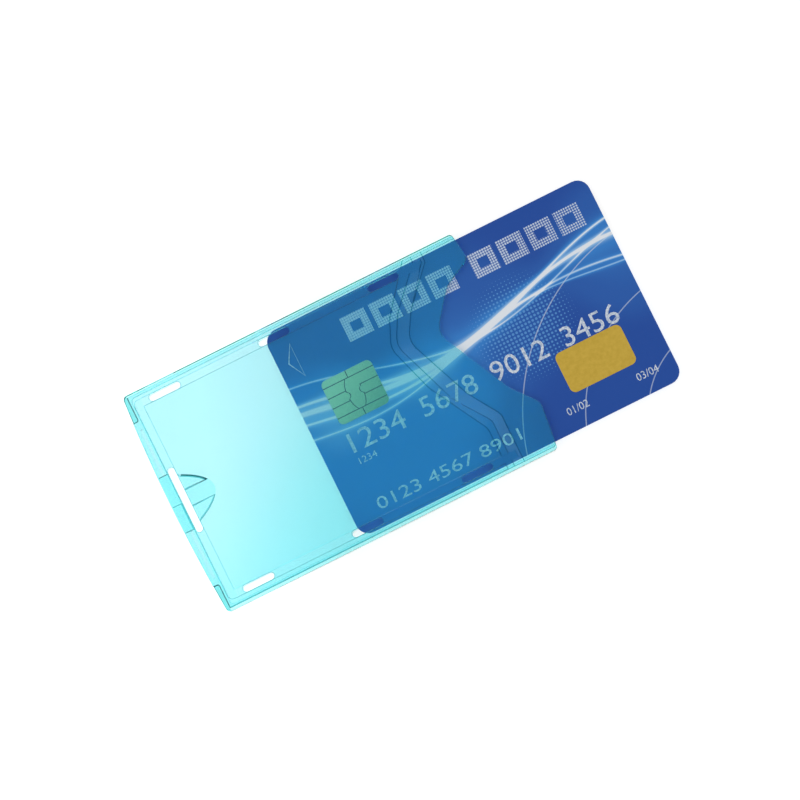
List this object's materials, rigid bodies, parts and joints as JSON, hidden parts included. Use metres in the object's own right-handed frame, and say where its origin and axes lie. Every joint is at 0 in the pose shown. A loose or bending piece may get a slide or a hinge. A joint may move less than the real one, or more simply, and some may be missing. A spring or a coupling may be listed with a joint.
{
  "type": "rigid card sleeve",
  "caption": "Flat rigid sleeve of clear turquoise plastic with a thumb notch at its open end, holding a chip card that slides out.",
  "frame": {"origin": "middle of the tray's flat back face, halfway between the tray's corners", "axes": "+X along the sleeve to its open mouth, +Z out of the front plate, +Y across the sleeve"},
  "size_m": [0.1231, 0.0576, 0.0036],
  "materials": {
    "clear_plastic": "clear turquoise, polished",
    "clear_film": "clear laminated film",
    "white_core": "matt white",
    "blue_print": "printed royal blue",
    "epoxy_tape": "glass-epoxy tape",
    "silicon": "polished silicon",
    "black_resin": "cast black resin",
    "contact_gold": "gold-plated",
    "magnetic_black": "magnetic tape",
    "signature_white": "matt writing surface",
    "amber_foil": "hot-stamped amber foil"
  },
  "bodies": {
    "sleeve": {"back_tray": "clear_plastic", "front_plate": "clear_plastic"},
    "card": {"card_back_overlay": "clear_film", "card_back_core": "white_core", "card_front_core": "blue_print", "card_front_overlay": "clear_film", "chip_carrier": "epoxy_tape", "chip_die": "silicon", "chip_encapsulant": "black_resin", "contact_c1": "contact_gold", "contact_c2": "contact_gold", "contact_c3": "contact_gold", "contact_c5": "contact_gold", "contact_c6": "contact_gold", "contact_c7": "contact_gold", "contact_rim_top_left": "contact_gold", "contact_rim_bottom_left": "contact_gold", "contact_rim_top_right": "contact_gold", "contact_rim_bottom_right": "contact_gold", "magnetic_stripe": "magnetic_black", "signature_panel": "signature_white", "foil_patch": "amber_foil"}
  },
  "joints": [
    {"name": "card_slide", "type": "slide", "parent": "sleeve", "child": "card", "axis": [1, 0, 0], "range_m": [-0.0349, 0.054]}
  ]
}
